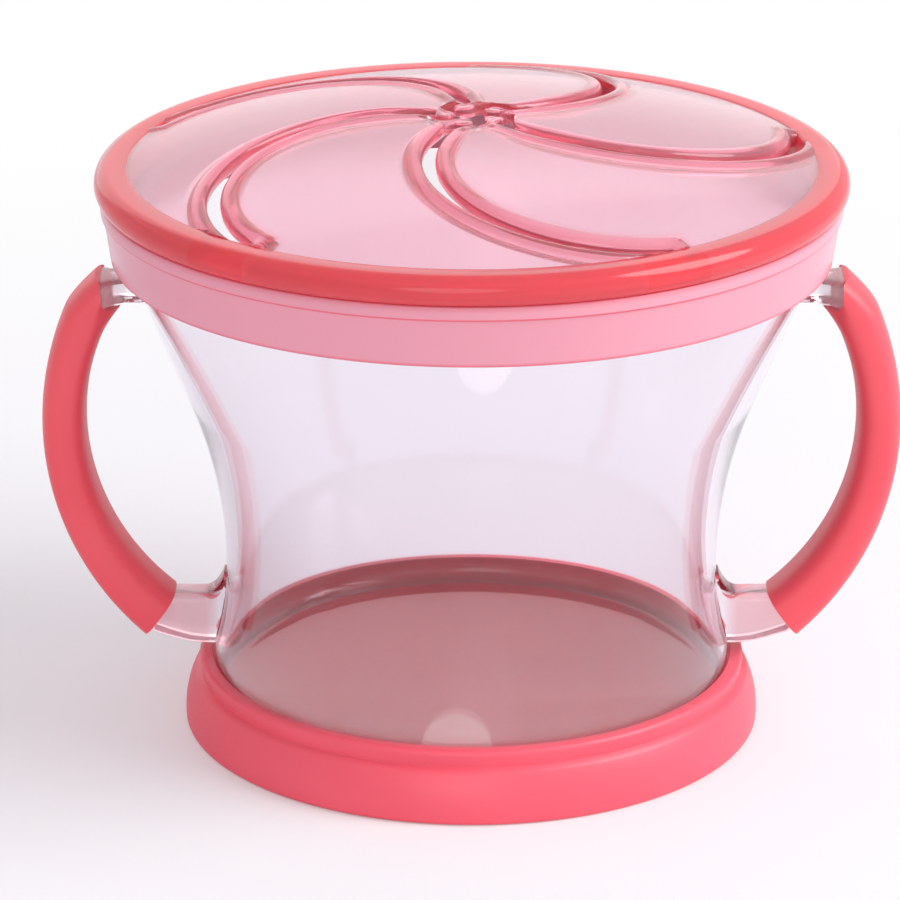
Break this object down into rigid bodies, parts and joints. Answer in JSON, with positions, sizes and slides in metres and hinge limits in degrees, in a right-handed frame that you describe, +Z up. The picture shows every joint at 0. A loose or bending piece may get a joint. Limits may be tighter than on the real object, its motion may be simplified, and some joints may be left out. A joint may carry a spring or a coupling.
{
  "type": "toddler snack container",
  "caption": "Clear waisted snack cup with gripped side handles, a soft foot ring and a push-on lid whose domed soft top is slit into curved flaps.",
  "frame": {"origin": "middle of the foot ring's flat underside", "axes": "+Z up, X through both handles, Y across them"},
  "size_m": [0.1158, 0.1002, 0.0858],
  "materials": {
    "clear_plastic": "clear, glossy",
    "foot_rubber": "satin",
    "grip_rubber": "satin",
    "lid_plastic": "translucent, glossy",
    "lid_soft": "translucent, glossy",
    "flap_soft": "translucent, glossy"
  },
  "bodies": {
    "cup_body": {"cup": "clear_plastic", "base_ring": "foot_rubber", "left_grip": "grip_rubber", "right_grip": "grip_rubber"},
    "lid_body": {"lid_skirt": "lid_plastic", "lid_rim": "lid_soft"},
    "flap_1_body": {"flap_1": "flap_soft"},
    "flap_2_body": {"flap_2": "flap_soft"},
    "flap_3_body": {"flap_3": "flap_soft"},
    "flap_4_body": {"flap_4": "flap_soft"},
    "flap_5_body": {"flap_5": "flap_soft"}
  },
  "joints": [
    {"name": "lid_lift", "type": "slide", "parent": "cup_body", "child": "lid_body", "axis": [0, 0, 1], "range_m": [0, 0.03]},
    {"name": "flap_1_bend", "type": "hinge", "parent": "lid_body", "child": "flap_1_body", "pos_m": [-0.01265, -0.03467, 0.07963], "axis": [-0.9946, 0.0833, -0.0625], "range_deg": [-15, 50], "stiffness_Nm_per_rad": 0.03},
    {"name": "flap_2_bend", "type": "hinge", "parent": "lid_body", "child": "flap_2_body", "pos_m": [0.02906, -0.02274, 0.07963], "axis": [-0.3866, -0.9201, -0.0625], "range_deg": [-15, 50], "stiffness_Nm_per_rad": 0.03},
    {"name": "flap_3_bend", "type": "hinge", "parent": "lid_body", "child": "flap_3_body", "pos_m": [0.03061, 0.02061, 0.07963], "axis": [0.7556, -0.652, -0.0625], "range_deg": [-15, 50], "stiffness_Nm_per_rad": 0.03},
    {"name": "flap_4_bend", "type": "hinge", "parent": "lid_body", "child": "flap_4_body", "pos_m": [-0.01014, 0.03548, 0.07963], "axis": [0.8536, 0.5172, -0.0625], "range_deg": [-15, 50], "stiffness_Nm_per_rad": 0.03},
    {"name": "flap_5_bend", "type": "hinge", "parent": "lid_body", "child": "flap_5_body", "pos_m": [-0.03688, 0.00132, 0.07963], "axis": [-0.2281, 0.9716, -0.0625], "range_deg": [-15, 50], "stiffness_Nm_per_rad": 0.03}
  ]
}
